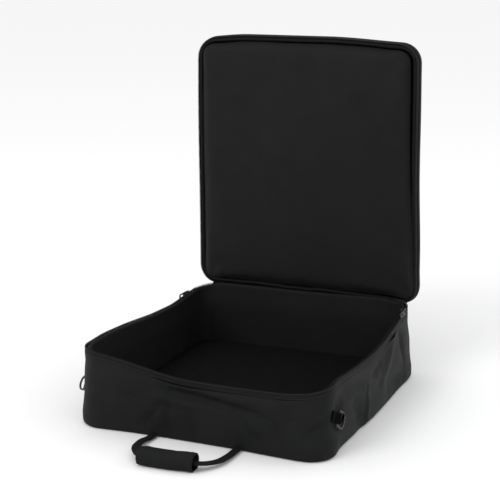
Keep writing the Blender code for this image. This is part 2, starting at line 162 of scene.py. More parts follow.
# Creases pressed into the outer wall, in millimetres: from, to, depth (a ridge has a negative one), width
CREASES = (
    # front wall
    ((-52, -184, 73), (30, -186, 66), -3.6, 4.6),
    ((20, -186, 67), (100, -188, 64), -2.8, 5),
    ((-30, -184, 63), (30, -185, 56), 6.4, 6),
    ((16, -185, 57), (80, -187, 50), 6, 5.8),
    ((-52, -184, 54), (4, -185, 46), -2.6, 5),
    ((118, -190, 62), (128, -188, 64), 4, 3.2),
    ((120, -190, 56), (114, -191, 38), 3, 4.2),
    ((-36, -184, 50), (-38, -183, 16), 3.6, 4.5),
    ((-69, -183, 16), (-46, -184, 44), 2.6, 5),
    ((-98, -184, 52), (-70, -184, 45), 2.8, 3.5),
    ((-136, -186, 60), (-100, -184, 46), 2, 6),
    ((0, -184, 12), (-6, -185, 40), 2.6, 6),
    ((50, -185, 52), (74, -186, 18), 3, 5),
    ((96, -188, 48), (108, -192, 22), 3.6, 4.5),
    ((110, -188, 70), (140, -188, 52), -2.6, 7),
    # front right corner
    ((160, -168, 50), (138, -188, 28), 5, 4.5),
    ((134, -190, 28), (158, -184, 8), -3.4, 5.5),
    # right wall
    ((166, -127, 58), (169, -62, 54), -2.6, 4),
    ((169, -62, 54), (170, -1, 51), -2.2, 4),
    ((168, -90, 41), (170, -62, 12), 4.4, 11),
    ((169, -47, 50), (171, -44, 8), -3.6, 4.2),
    ((169, -36, 52), (171, 4, 63), 4, 6),
    ((171, 70, 80), (172, 14, 40), -4.4, 10),
    ((171, 100, 76), (170, 116, 36), 3.4, 6),
    ((171, 40, 20), (170, 110, 12), 3, 9),
    # left and back walls
    ((-168, -120, 60), (-168, -70, 30), 3, 6),
    ((-168, -20, 70), (-168, 20, 20), 3.4, 6),
    ((-168, 60, 40), (-166, 130, 62), 3, 6),
    ((-110, 180, 60), (-40, 180, 30), 2.4, 6),
    ((20, 180, 40), (90, 180, 62), 2.4, 6),
)


# ---------------------------------------------------------------- geometry helpers

def outline(width, depth, radius, inset=0.0):
    """Points, outward normals and arc lengths round a rounded rectangle, counterclockwise from mid back."""
    half_x = width / 2 - radius
    half_y = depth / 2 - radius
    quarter = math.pi * radius / 2
    legs = (
        (half_x, (0.0, depth / 2), (-1.0, 0.0)),
        (quarter, (-half_x, half_y), 90.0),
        (2 * half_y, (-width / 2, half_y), (0.0, -1.0)),
        (quarter, (-half_x, -half_y), 180.0),
        (2 * half_x, (-half_x, -depth / 2), (1.0, 0.0)),
        (quarter, (half_x, -half_y), 270.0),
        (2 * half_y, (width / 2, -half_y), (0.0, 1.0)),
        (quarter, (half_x, half_y), 0.0),
        (half_x, (half_x, depth / 2), (-1.0, 0.0)),
    )
    total = sum(leg[0] for leg in legs)
    count = int(round(total / GRID_STEP))
    points, normals, lengths = [], [], []
    for index in range(count):
        along = total * index / count
        lengths.append(along)
        for length, start, heading in legs:
            if along <= length:
                break
            along -= length
        if isinstance(heading, float):
            angle = math.radians(heading + 90 * along / length)
            normal = np.array((math.cos(angle), math.sin(angle)))
            point = np.array(start) + radius * normal
        else:
            normal = np.array((heading[1], -heading[0]))
            point = np.array(start) + along * np.array(heading)
        points.append(point - inset * normal)
        normals.append(normal)
    return np.array(points), np.array(normals), np.array(lengths), total


def smoothed(values, times):
    """Values round an outline, averaged with their neighbours."""
    for _ in range(times):
        values = (np.roll(values, 1, 0) + 2 * values + np.roll(values, -1, 0)) / 4
    return values


def wall_shape(points, lengths, total):
    """Hang, lean and foot of the wall at each point of an outline of the tub."""
    found = []
    for x, y, *values in np.array(WALL_SHAPE) * MM:
        nearest = np.argmin(np.hypot(points[:, 0] - x, points[:, 1] - y))
        found.append((lengths[nearest], values))
    found.sort(key=lambda pair: pair[0])
    places = [place for place, _ in found]
    places = [places[-1] - total] + places + [places[0] + total]
    rows = np.array([values for _, values in found])
    rows = np.vstack((rows[-1:], rows, rows[:1]))
    return [smoothed(np.interp(lengths, places, column), 10) for column in rows.T]


def creased(points, outward):
    """Points pushed along the creases."""
    for start, end, depth, width in CREASES:
        start, end, depth, width = np.array(start) * MM, np.array(end) * MM, depth * MM, width * MM
        span = end - start
        share = np.clip((points - start) @ span / (span @ span), 0, 1)
        gap = points - start - share[..., None] * span
        through = (gap * outward).sum(axis=-1, keepdims=True)
        away = np.linalg.norm(gap - through * outward, axis=-1) + 10 * (np.abs(through[..., 0]) > 0.03)
        fade = 0.35 + 0.65 * np.sin(math.pi * np.clip(share, 0.12, 0.88))
        points = points - outward * (depth * fade * np.exp(-(away / width) ** 2))[..., None]
    return points


def ripple(points, wavelength, offset=0.0):
    """Smooth noise from -1 to 1 at each point."""
    shift = Vector((offset, 2.3 * offset, -1.7 * offset))
    flat = np.asarray(points).reshape(-1, 3) / wavelength
    found = [noise.noise(Vector(p) + shift) for p in flat]
    return np.array(found).reshape(np.asarray(points).shape[:-1])


def crumpled(points, outward, amount):
    """Points of slack cloth, with sharp creases between smooth facets."""
    drawn = points * (1.0, 0.4, 1.0)
    folds = 0.0042 * (0.22 - np.abs(ripple(drawn, 0.075, 44.0))) + 0.0012 * (0.22 - np.abs(ripple(drawn, 0.036, 27.0)))
    return points + outward * (folds * amount)[..., None]


def ring_hollows(points):
    """Points of the wall pressed in behind each D-ring."""
    for side, name in ((-1, "left"), (1, "right")):
        bar = JOINTS["ring_swing_" + name]["pos_m"]
        radius, behind, above = HOLLOWS[name]
        away = np.hypot(points[..., 1] - bar[1] - behind, points[..., 2] - bar[2] - above)
        beyond = np.clip(side * points[..., 0] - abs(bar[0]) + RING_HOLLOW, 0, None)
        points[..., 0] -= side * beyond * np.exp(-(away / radius) ** 4)
    return points


def bump_at(values, centre, width):
    return np.exp(-((values - centre) / width) ** 2)


def step_up(values, low, high):
    t = np.clip((values - low) / (high - low), 0, 1)
    return t * t * (3 - 2 * t)


def finish_mesh(name, mesh, material):
    obj = bpy.data.objects.new(name, mesh)
    bpy.context.scene.collection.objects.link(obj)
    mesh.materials.append(material)
    mesh.shade_smooth()
    return obj


def belongs(piece, body, slot, *nodes, fill=None):
    """Rides a piece on its body and hides the CAD nodes that it stands for. The slot and fill are not used."""
    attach(piece, body)
    if nodes:
        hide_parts(*nodes)


def place_cloth(mesh, coordinates):
    """Keeps the cloth's own (u, v), in metres, at every face corner."""
    layer = mesh.attributes.get("cloth") or mesh.attributes.new("cloth", "FLOAT_VECTOR", "CORNER")
    values = np.c_[coordinates, np.zeros(len(coordinates))]
    layer.data.foreach_set("vector", values.astype(np.float32).ravel())


def grid(name, points, material, uv, wrap_cols=False, wrap_rows=False, cap=False):
    """A sheet through rows and columns of points; uv places the cloth, in metres, per column and per row."""
    rows, cols = points.shape[:2]
    u, v = (np.asarray(values, float) for values in uv)
    row_last = rows if wrap_rows else rows - 1
    col_last = cols if wrap_cols else cols - 1
    u = np.append(u, u[-1] + (u[-1] - u[-2])) if len(u) == cols else u
    v = np.append(v, v[-1] + (v[-1] - v[-2])) if len(v) == rows else v
    r, c = np.meshgrid(np.arange(row_last), np.arange(col_last), indexing="ij")
    near, far = r * cols, (r + 1) % rows * cols
    beside = (c + 1) % cols
    faces = np.stack((near + c, near + beside, far + beside, far + c), axis=-1).reshape(-1, 4).tolist()
    coordinates = np.stack((u[c], v[r], u[c + 1], v[r], u[c + 1], v[r + 1], u[c], v[r + 1]), axis=-1).ravel()
    if cap:
        first = np.arange(rows) * cols
        faces += [first.tolist(), (first + cols - 1)[::-1].tolist()]
        coordinates = np.append(coordinates, np.zeros(4 * rows))
    mesh = bpy.data.meshes.new(name)
    mesh.from_pydata(points.reshape(-1, 3).tolist(), [], faces)
    place_cloth(mesh, coordinates.reshape(-1, 2))
    mesh.update()
    return finish_mesh(name, mesh, material)


def close_middle(obj, centre, reach):
    """Fills the round hole that lies within that reach of a point."""
    bm = bmesh.new()
    bm.from_mesh(obj.data)
    edges = [e for e in bm.edges if e.is_boundary and (e.verts[0].co - Vector(centre)).length < reach]
    bmesh.ops.holes_fill(bm, edges=edges, sides=0)
    bm.to_mesh(obj.data)
    bm.free()


def sweep(name, path, out, profile, material, wrap=True, up=UP):
    """A closed profile of (outward, upward) offsets carried along a path."""
    profile = np.asarray(profile, float)
    up = np.broadcast_to(up, path.shape)
    points = np.array([path + o * out + h * up for o, h in profile])
    return grid(name, points, material, (distances(path), distances(profile)), wrap, True, not wrap)


def oval(half_out, half_up, steps, centre=(0.0, 0.0), power=1.0):
    """A closed profile, counterclockwise. A power under 1 squares it."""
    angles = np.linspace(0, 2 * math.pi, steps, endpoint=False)
    cosine, sine = np.cos(angles), np.sin(angles)
    out = centre[0] + half_out * np.sign(cosine) * np.abs(cosine) ** power
    rise = centre[1] + half_up * np.sign(sine) * np.abs(sine) ** power
    return np.stack((out, rise), axis=1)


def directions(path):
    """Unit tangents of a path."""
    ahead = np.gradient(path, axis=0)
    return ahead / np.linalg.norm(ahead, axis=1, keepdims=True)


def distances(path):
    """How far along a path each of its points lies."""
    return np.concatenate(([0.0], np.cumsum(np.linalg.norm(np.diff(path, axis=0), axis=1))))


def between(places, along, values):
    """Points read off a path, at places along it."""
    return np.stack([np.interp(places, along, values[:, k]) for k in range(3)], axis=1)


def stitches(name, path, face, material):
    """A row of thread stitches lying on a surface; face gives the surface's outward direction at each point."""
    along = distances(path)
    count = int(along[-1] / STITCH_PITCH)
    centres = (np.arange(count) + 0.5) * STITCH_PITCH
    middle, outward = between(centres, along, path), between(centres, along, face)
    heading = between(centres, along, directions(path))
    heading /= np.linalg.norm(heading, axis=1, keepdims=True)
    outward /= np.linalg.norm(outward, axis=1, keepdims=True)
    side = np.cross(heading, outward)
    rings = np.array(((-0.5, 0.25, -0.6), (-0.28, 0.9, 0.25), (0.0, 1.0, 0.45), (0.28, 0.9, 0.25), (0.5, 0.25, -0.6)))
    place, size, lift = (column[None, :, None, None] for column in rings.T)
    turns = np.radians(45 + 90 * np.arange(4))[None, None, :, None]
    heading, outward, side, middle = (row[:, None, None, :] for row in (heading, outward, side, middle))
    centre = middle + heading * place * STITCH_SHARE * STITCH_PITCH + outward * lift * STITCH_RADIUS
    vertices = centre + size * STITCH_RADIUS * (np.cos(turns) * side + np.sin(turns) * outward)
    corners = np.arange(vertices.size // 3).reshape(vertices.shape[:3])[:, :-1]
    beside = np.roll(corners, -1, 2)
    faces = np.stack((corners, beside, beside + 4, corners + 4), axis=-1).reshape(-1, 4)
    mesh = bpy.data.meshes.new(name)
    mesh.from_pydata(vertices.reshape(-1, 3).tolist(), [], faces.tolist())
    mesh.update()
    return finish_mesh(name, mesh, material)


def coordinates_of(obj):
    found = np.empty(len(obj.data.vertices) * 3, np.float32)
    obj.data.vertices.foreach_get("co", found)
    return found.reshape(-1, 3).astype(float)


def set_coordinates(obj, points):
    obj.data.vertices.foreach_set("co", np.asarray(points, np.float32).ravel())
    obj.data.update()


def simulate(obj, pins, reach, pressure, bending, shrink=0.0, frames=20):
    """Cloth with no gravity, its result kept in the mesh; pins weighs each vertex, reach is the most a point moves."""
    start = coordinates_of(obj)
    group = obj.vertex_groups.new(name="pins")
    for index in np.nonzero(pins)[0]:
        group.add([int(index)], float(pins[index]), "REPLACE")
    cloth = obj.modifiers.new("cloth", "CLOTH")
    settings = cloth.settings
    for key, value in CLOTH.items():
        setattr(settings, key, value)
    settings.effector_weights.gravity = 0.0
    settings.bending_stiffness = bending
    settings.vertex_group_mass = "pins"
    settings.shrink_min = -shrink
    settings.use_pressure = True
    settings.uniform_pressure_force = pressure
    cloth.collision_settings.use_collision = False
    cloth.point_cache.frame_end = frames
    scene = bpy.context.scene
    for number in range(1, frames + 1):
        scene.frame_set(number)
    evaluated = obj.evaluated_get(bpy.context.evaluated_depsgraph_get())
    end = coordinates_of(evaluated)
    obj.modifiers.remove(cloth)
    obj.vertex_groups.remove(group)
    scene.frame_set(1)
    move = end - start
    length = np.linalg.norm(move, axis=1, keepdims=True)
    limited = reach * np.tanh(length / reach)
    set_coordinates(obj, start + move * limited / np.maximum(length, 1e-9))


def subdivide(obj):
    modifier = obj.modifiers.new("fine", "SUBSURF")
    modifier.levels = modifier.render_levels = 1
    mesh = bpy.data.meshes.new_from_object(obj.evaluated_get(bpy.context.evaluated_depsgraph_get()))
    obj.modifiers.remove(modifier)
    old = obj.data
    obj.data = mesh
    bpy.data.meshes.remove(old)
    mesh.shade_smooth()


def softened(node, name, width, material, segments):
    """A copy of a hard CAD node with its edges rounded, which replaces the node."""
    bm = bmesh.new()
    bm.from_mesh(frame["nodes"][node].data)
    bmesh.ops.remove_doubles(bm, verts=bm.verts, dist=1e-6)
    bmesh.ops.dissolve_limit(bm, angle_limit=math.radians(2), verts=bm.verts, edges=bm.edges)
    sharp = [e for e in bm.edges if len(e.link_faces) == 2 and e.calc_face_angle(0) > math.radians(35)]
    bmesh.ops.bevel(bm, geom=sharp, offset=width, segments=segments, profile=0.5, affect="EDGES")
    mesh = bpy.data.meshes.new(name)
    bm.to_mesh(mesh)
    bm.free()
    obj = finish_mesh(name, mesh, material)
    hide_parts(node)
    return obj


# ---------------------------------------------------------------- materials

class Nodes:
    """Short names for the shader nodes that the materials share."""

    def __init__(self, name, colour, roughness, specular=0.3, metallic=0.0, sheen=0.0):
        self.material = bpy.data.materials.new(name)
        self.material.use_nodes = True
        self.tree = self.material.node_tree
        self.shader = self.tree.nodes["Principled BSDF"]
        names = ("Base Color", "Roughness", "Specular IOR Level", "Metallic", "Sheen Weight", "Sheen Roughness")
        for socket, value in zip(names, ((*colour, 1.0), roughness, specular, metallic, sheen, 0.5)):
            self.shader.inputs[socket].default_value = value
        self.colour = colour

    def add(self, kind, **settings):
        node = self.tree.nodes.new("ShaderNode" + kind)
        for key, value in settings.items():
            setattr(node, key, value)
        return node

    def join(self, source, target):
        self.tree.links.new(source, target)

    def maths(self, operation, first, second=0.0):
        node = self.add("Math", operation=operation)
        for socket, value in zip(node.inputs, (first, second)):
            if isinstance(value, (int, float)):
                socket.default_value = value
            else:
                self.join(value, socket)
        return node.outputs[0]

    def times(self, first, second):
        return self.maths("MULTIPLY", first, second)

    def plus(self, first, second):
        return self.maths("ADD", first, second)

    def noise(self, scale, detail, roughness, vector=None):
        node = self.add("TexNoise")
        for socket, value in zip(("Scale", "Detail", "Roughness"), (scale, detail, roughness)):
            node.inputs[socket].default_value = value
        self.join(vector or self.place(), node.inputs["Vector"])
        return node.outputs["Fac"]

    def place(self):
        return self.add("TexCoord").outputs["Object"]

    def drawn_out(self, share):
        """The place, with its depth squeezed, so that marks run lengthwise along the side walls."""
        node = self.add("Mapping")
        node.inputs["Scale"].default_value = (1.0, share, 1.0)
        self.join(self.place(), node.inputs["Vector"])
        return node.outputs["Vector"]

    def cloth_uv(self):
        """(u, v) of the cloth in metres."""
        placed = self.add("Attribute", attribute_name="cloth")
        split = self.add("SeparateXYZ")
        self.join(placed.outputs["Vector"], split.inputs[0])
        return split.outputs["X"], split.outputs["Y"]

    def remap(self, value, low, high, to_low, to_high):
        node = self.add("MapRange")
        for socket, number in zip(("From Min", "From Max", "To Min", "To Max"), (low, high, to_low, to_high)):
            node.inputs[socket].default_value = number
        self.join(value, node.inputs["Value"])
        return node.outputs["Result"]

    def tint(self, value, dark, light):
        """The base colour, from dark to light times itself as a value goes from 0 to 1."""
        mix = self.add("Mix", data_type="RGBA")
        mix.inputs["A"].default_value = (*[c * dark for c in self.colour], 1.0)
        mix.inputs["B"].default_value = (*[min(1.0, c * light) for c in self.colour], 1.0)
        self.join(value, mix.inputs["Factor"])
        self.join(mix.outputs["Result"], self.shader.inputs["Base Color"])

    def bump(self, heights):
        """Bumps from (height, distance, strength), the first one coarsest."""
        normal = None
        for height, distance, strength in heights:
            node = self.add("Bump")
            node.inputs["Distance"].default_value = distance
            node.inputs["Strength"].default_value = strength
            self.join(height, node.inputs["Height"])
            if normal is not None:
                self.join(normal, node.inputs["Normal"])
            normal = node.outputs["Normal"]
        self.join(normal, self.shader.inputs["Normal"])


def plain_weave(nodes, thread):
    """Height of a plain weave with that many metres from thread to thread."""
    u, v = nodes.cloth_uv()
    turn = math.pi / thread
    warp = nodes.maths("SINE", nodes.times(u, turn))
    weft = nodes.maths("SINE", nodes.times(v, turn))
    checks = nodes.times(warp, weft)
    return nodes.plus(nodes.times(checks, 0.5), 0.5)


def woven(name, colour, roughness, specular, thread, crease=0.0012, sheen=0.05):
    """Woven polyester: threads, soft creases, slight fading and a trace of dust."""
    nodes = Nodes(name, colour, roughness, specular, sheen=sheen)
    weave = plain_weave(nodes, thread)
    broad = nodes.noise(9.0, 4.0, 0.55)
    creases = nodes.noise(38.0, 5.0, 0.6, nodes.drawn_out(0.4))
    slubs = nodes.noise(420.0, 2.0, 0.6)
    shade = nodes.plus(nodes.times(broad, 0.55), nodes.times(creases, 0.25))
    shade = nodes.plus(shade, nodes.times(nodes.times(weave, slubs), 0.4))
    nodes.tint(nodes.remap(shade, 0.3, 0.85, 0.0, 1.0), 0.72, 1.35)
    rough = nodes.remap(creases, 0.3, 0.7, roughness - 0.08, roughness + 0.08)
    nodes.join(rough, nodes.shader.inputs["Roughness"])
    nodes.bump(((creases, crease, 0.35), (slubs, 0.0003, 0.25), (weave, 0.0003, 0.55)))
    return nodes.material


def webbing_cloth(name, colour, specular=0.12):
    """Ribbed webbing: chevron rows of thick yarn along its length."""
    nodes = Nodes(name, colour, 0.72, specular, sheen=0.01)
    u, v = nodes.cloth_uv()
    across = nodes.maths("PINGPONG", v, 0.0028)
    slant = nodes.plus(u, nodes.times(across, 0.9))
    ribs = nodes.maths("SINE", nodes.times(slant, 2 * math.pi / 0.0016))
    cords = nodes.maths("SINE", nodes.times(v, 2 * math.pi / 0.0014))
    height = nodes.plus(nodes.times(ribs, 0.3), nodes.times(cords, 0.2))
    height = nodes.plus(height, 0.5)
    fuzz = nodes.noise(900.0, 2.0, 0.6)
    wear = nodes.noise(30.0, 3.0, 0.6)
    nodes.tint(nodes.times(nodes.plus(height, wear), 0.5), 0.6, 1.5)
    nodes.bump(((height, 0.0005, 0.8), (fuzz, 0.0002, 0.3)))
    return nodes.material


def moulded(name, colour, roughness, specular=0.5, metallic=0.0, grain=0.00012):
    """Moulded plastic or painted metal: fine grain, handling marks and paler worn edges."""
    nodes = Nodes(name, colour, roughness, specular, metallic)
    grains = nodes.noise(2600.0, 2.0, 0.5)
    marks = nodes.noise(160.0, 5.0, 0.65)
    edge = nodes.remap(nodes.add("NewGeometry").outputs["Pointiness"], 0.5, 0.58, 0.0, 1.0)
    worn = nodes.times(edge, marks)
    nodes.tint(nodes.plus(nodes.times(marks, 0.35), worn), 0.7, 2.2)
    rough = nodes.remap(marks, 0.3, 0.7, roughness - 0.07, roughness + 0.1)
    nodes.join(rough, nodes.shader.inputs["Roughness"])
    nodes.bump(((marks, 0.0002, 0.15), (grains, grain, 0.4)))
    return nodes.material


def yarn(name, colour):
    """Sewing thread, a little glossier than the cloth."""
    nodes = Nodes(name, colour, 0.55, 0.4, sheen=0.1)
    twist = nodes.noise(1800.0, 2.0, 0.5)
    nodes.tint(twist, 0.7, 1.4)
    nodes.bump(((twist, 0.0002, 0.5),))
    return nodes.material


SHELL = woven("shell_cloth", (0.0118, 0.0121, 0.0122), 0.50, 0.046, 0.00062, sheen=0.002)
# Darker than the wall and panel lining: painted shade of the deep tub, where this cloth covers the floor pad
LINING_DARKENED_FOR_SHADE = woven("lining_cloth", (0.0040, 0.0040, 0.0041), 0.80, 0.06, 0.00045, crease=0.0008, sheen=0.002)
WALL_LINING = woven("wall_lining_cloth", (0.0080, 0.0080, 0.0081), 0.70, 0.12, 0.00045, crease=0.0008, sheen=0.004)
PANEL = woven("panel_cloth", (0.0088, 0.0088, 0.0088), 0.78, 0.15, 0.00050, crease=0.0006, sheen=0.015)
BINDING = woven("binding_cloth", (0.0080, 0.0082, 0.0083), 0.60, 0.08, 0.00055, sheen=0.004)
WEBBING = webbing_cloth("webbing_cloth", (0.0060, 0.0060, 0.0062))
# Near-black webbing for the ring tabs: painted shade of the hollow round each ring
TAB_CLOTH_PAINTED_SHADE = webbing_cloth("tab_webbing_painted_shade", (0.0022, 0.0022, 0.0023), 0.04)
COIL = moulded("coil_nylon", (0.0120, 0.0120, 0.0124), 0.50, 0.20, grain=0.00005)
PLASTIC = moulded("ring_plastic_grain", (0.0220, 0.0220, 0.0228), 0.40, 0.4)
METAL = moulded("slider_paint", (0.0200, 0.0200, 0.0205), 0.42, 0.4, metallic=0.5, grain=0.00005)
THREAD = yarn("sewing_thread", (0.0180, 0.0180, 0.0190))


# ---------------------------------------------------------------- tub

def wall_sheet():
    """The outer wall as points, rows from the ground up and columns round the tub."""
    points, normals, lengths, total = outline(WIDTH, DEPTH, CORNER)
    hang, lean, foot = wall_shape(points, lengths, total)
    flat = np.c_[points, np.zeros(len(points))]
    out = np.c_[normals, np.zeros(len(points))]
    corner = smoothed((np.abs(normals).min(axis=1) > 0.02).astype(float), 30)
    on_front = step_up(-points[:, 1], 0.165, 0.174)
    reach = step_up(points[:, 0], -0.070, -0.040) * (1 - step_up(points[:, 0], 0.080, 0.115))
    rows = []
    for turn in np.linspace(0, math.pi / 2, 5)[:-1]:
        inward = SOFT_FOOT * (1 - math.sin(turn)) - foot
        rows.append(flat - out * inward[:, None] + UP * SOFT_FOOT * (1 - math.cos(turn)))
    for t in np.linspace(0.0, 1.0, 24):
        height = SOFT_FOOT + (WALL_Z - hang - SOFT_FOOT) * t
        push = foot * (1 - t) ** 1.4 + lean * t
        push = push + WALL_BULGE * math.sin(math.pi * t) * (1 - corner)
        middle = 0.56 + 0.04 * np.sin(points[:, 0] * 24)
        fold = bump_at(t, middle, 0.09) - 1.1 * bump_at(t, middle + 0.19, 0.10) - 0.7 * bump_at(t, middle - 0.2, 0.10)
        push = push - 0.0008 * fold * on_front * reach
        rows.append(flat + out * push[:, None] + UP * height[:, None])
    return np.array(rows), out, lengths


def relaxed_wall():
    """The outer wall after its cloth has settled, with its seam rows held."""
    points, out, lengths = wall_sheet()
    rows, cols = points.shape[:2]
    seeds = 0.0011 * ripple(points * (1.0, 0.4, 1.0), 0.060, 3.1)
    held = np.zeros(rows)
    held[:4] = 1.0
    held[4] = 0.6
    held[-2:] = (0.5, 1.0)
    free = step_up(np.arange(rows), 4, 8) * (1 - step_up(np.arange(rows), rows - 4, rows - 1))
    points = points + out[None] * (seeds * free[:, None])[..., None]
    across = distances(points[:, 0])
    wall = grid("tub_wall", points, SHELL, (lengths, across), wrap_cols=True)
    simulate(wall, np.repeat(held, cols), CLOTH_REACH, pressure=1.5, bending=8.0, frames=22)
    return wall, coordinates_of(wall).reshape(rows, cols, 3), out, lengths


def make_tub():
    wall, settled, out, lengths = relaxed_wall()
    height = settled[..., 2] / settled[-1:, :, 2]
    loose = step_up(height, 0.02, 0.20) * (1 - step_up(height, 0.80, 0.945))
    shaped = ring_hollows(crumpled(creased(settled, out[None]), out[None], loose))
    beyond = np.clip(shaped[..., 1] - DEPTH / 2 + LID_NICHE, 0, None)
    shaped[..., 1] -= beyond * step_up(height, 0.60, 0.72) * (1 - step_up(height, 0.93, 0.99))
    set_coordinates(wall, shaped.reshape(-1, 3))
    subdivide(wall)
    foams = ["foam_" + side for side in ("left", "right", "front", "back")]
    belongs(wall, "case", "case_fabric", "gusset_wall", "back_wall", *foams, fill=0.5)

    foot = settled[0]
    rings = [foot * (1, 1, 0) * scale + UP * 0.0004 for scale in (1.0, 0.96, 0.8, 0.55, 0.3, 0.08)]
    under = np.array(rings)[::-1]
    ground = grid("tub_underside", under, SHELL, (lengths, np.linspace(0, 0.15, len(rings))), wrap_cols=True)
    close_middle(ground, (0.0, 0.0, 0.0), 0.03)
    belongs(ground, "case", "case_fabric", "base_panel")

    make_tub_lining(settled, out, lengths)
    make_rim(settled[-1], out)


def make_tub_lining(settled, out, lengths):
    """The lining follows the outer wall on the far side of its foam, with softer folds of its own."""
    rows = settled[4:]
    for _ in range(4):
        rows = (np.roll(rows, 1, 1) + 2 * rows + np.roll(rows, -1, 1)) / 4
    height = np.linspace(0.0, 1.0, len(rows))
    loose = np.sin(math.pi * np.clip(height, 0.1, 1.0))[:, None]
    crumple = 0.0012 * ripple(rows, 0.060, 12.0) + 0.0005 * ripple(rows, 0.020, 4.0)
    for x, y, width, depth in np.array(CORNER_FOLDS) * MM:
        away = np.hypot(rows[..., 0] - x, rows[..., 1] - y)
        crumple = crumple + depth * np.exp(-(away / width) ** 2)
    nominal = np.clip((rows * out[None]).sum(axis=2) - (rows[-1] * out).sum(axis=1), 0, None)
    shoulder = 0.0030 * (1 - step_up(height, 0.66, 1.0))[:, None]
    inner = rows - out[None] * (LINING_INSET + 0.0012 + 0.7 * nominal + shoulder + crumple * loose)[..., None]
    behind = step_up(rows[-1, :, 1], 0.172, 0.176) * (1 - step_up(np.abs(rows[-1, :, 0]), 0.125, 0.135))
    inner[:, :, 2] += (0.0058 + 0.0030 * behind)[None] * (height ** 2)[:, None]
    lip = inner[-1] + out * 0.0030 + UP * 0.0008
    inner = np.concatenate((inner, lip[None]))[::-1]
    across = np.linspace(0, 0.09, len(inner))
    lining = grid("tub_lining", inner, WALL_LINING, (lengths, across), wrap_cols=True)
    subdivide(lining)
    belongs(lining, "case", "lining_fabric", "wall_lining", fill=0.5)


def zip_range(points):
    """Columns of the rim where the zip runs: all but the straight of the back wall."""
    straight = WIDTH / 2 - CORNER
    return ~((points[:, 1] > DEPTH / 2 - 0.004) & (np.abs(points[:, 0]) < straight))


def in_order(mask):
    """Indices of the one run of True in a ring, from its start to its end."""
    count = len(mask)
    start = next(i for i in range(count) if mask[i] and not mask[i - 1])
    return [(start + k) % count for k in range(count) if mask[(start + k) % count]]


def coil(name, path, out, up):
    """A zip's coil of teeth wound along a path."""
    along = distances(path)
    turns = int(along[-1] / COIL_PITCH)
    places = np.linspace(0, turns * COIL_PITCH, turns * COIL_STEPS)
    middle, outward = between(places, along, path), between(places, along, out)
    angle = 2 * math.pi * places / COIL_PITCH
    points = middle + outward * (COIL_HALF[0] * np.cos(angle))[:, None] + up * (COIL_HALF[1] * np.sin(angle))[:, None]
    curve = bpy.data.curves.new(name, "CURVE")
    curve.dimensions = "3D"
    curve.bevel_depth, curve.bevel_resolution, curve.use_fill_caps = COIL_GAUGE, 0, True
    spline = curve.splines.new("POLY")
    spline.points.add(len(points) - 1)
    spline.points.foreach_set("co", np.c_[points, np.ones(len(points))].ravel())
    helper = bpy.data.objects.new(name, curve)
    mesh = bpy.data.meshes.new_from_object(helper)
    bpy.data.objects.remove(helper)
    mesh.name = name
    return finish_mesh(name, mesh, COIL)


def zip_side(prefix, body, path, out, up, tape_half, tape_drop, coil_drop, nodes):
    """One side of the zip along a path: its woven tape, and the coil of teeth that it carries."""
    profile = oval(*tape_half, 12, (-ZIP_INSET, -tape_drop), 0.5)
    tape = sweep(prefix + "_zip_tape", path, out, profile, BINDING, wrap=False, up=up)
    belongs(tape, body, "binding", nodes[0])
    teeth = coil(prefix + "_zip_coil", path - out * ZIP_INSET - up * coil_drop, out, up)
    belongs(teeth, body, "zip_coil", nodes[1])


def make_rim(top, out):
    """Zip tape, coil and bound edge, all following the slack rim."""
    run = in_order(zip_range(top))
    path, outward = top[run], out[run]
    crest = path + UP * (RIM_Z - WALL_Z)
    nodes = ("rim_tape", "zip_chain_lower")
    zip_side("rim", "case", crest, outward, UP, (0.0009, 0.0029), 0.0057, 0.0016, nodes)

    roll_profile = oval(0.0016, 0.0028, 14, (-0.0049, -0.0052), 0.85)
    roll = sweep("rim_bound_edge", crest, outward, roll_profile, BINDING, wrap=False)
    belongs(roll, "case", "binding")

    line = crest + outward * (-ZIP_INSET + 0.00085) - UP * 0.0068
    seam = stitches("rim_stitching", line, outward, THREAD)
    belongs(seam, "case", "binding")


# ---------------------------------------------------------------- padded panels

def remeshed_block(name, size, corner, centre, material, voxel, tilt=None):
    """A rounded slab rebuilt from even cells, ready for a cloth simulation."""
    bm = bmesh.new()
    bmesh.ops.create_cube(bm, size=1.0, matrix=Matrix.Diagonal((*size, 1.0)))
    upright = [e for e in bm.edges if abs((e.verts[0].co - e.verts[1].co).z) > size[2] / 2]
    bmesh.ops.bevel(bm, geom=upright, offset=corner, segments=8, profile=0.5, affect="EDGES")
    mesh = bpy.data.meshes.new(name)
    bm.to_mesh(mesh)
    bm.free()
    obj = finish_mesh(name, mesh, material)
    remesh = obj.modifiers.new("cells", "REMESH")
    remesh.mode = "VOXEL"
    remesh.voxel_size = voxel
    cells = bpy.data.meshes.new_from_object(obj.evaluated_get(bpy.context.evaluated_depsgraph_get()))
    obj.modifiers.remove(remesh)
    obj.data = cells
    matrix = Matrix.Translation(centre)
    if tilt is not None:
        matrix = matrix @ tilt
    cells.transform(matrix)
    if not cells.materials:
        cells.materials.append(material)
    cells.shade_smooth()
    return obj


def flat_cloth(obj, first, second, behind=None):
    """Lays the cloth's (u, v) straight along two world axes, everywhere or on the faces behind a depth."""
    mesh = obj.data
    index = np.empty(len(mesh.loops), np.int32)
    mesh.loops.foreach_get("vertex_index", index)
    corners = coordinates_of(obj)[index]
    straight = corners[:, (first, second)]
    if behind is not None:
        starts, sizes = np.empty((2, len(mesh.polygons)), np.int32)
        mesh.polygons.foreach_get("loop_start", starts)
        mesh.polygons.foreach_get("loop_total", sizes)
        near = np.repeat(np.minimum.reduceat(corners[:, 1], starts) < behind, sizes)
        kept = np.empty(len(index) * 3, np.float32)
        mesh.attributes["cloth"].data.foreach_get("vector", kept)
        straight = np.where(near[:, None], kept.reshape(-1, 3)[:, :2], straight)
    place_cloth(mesh, straight)


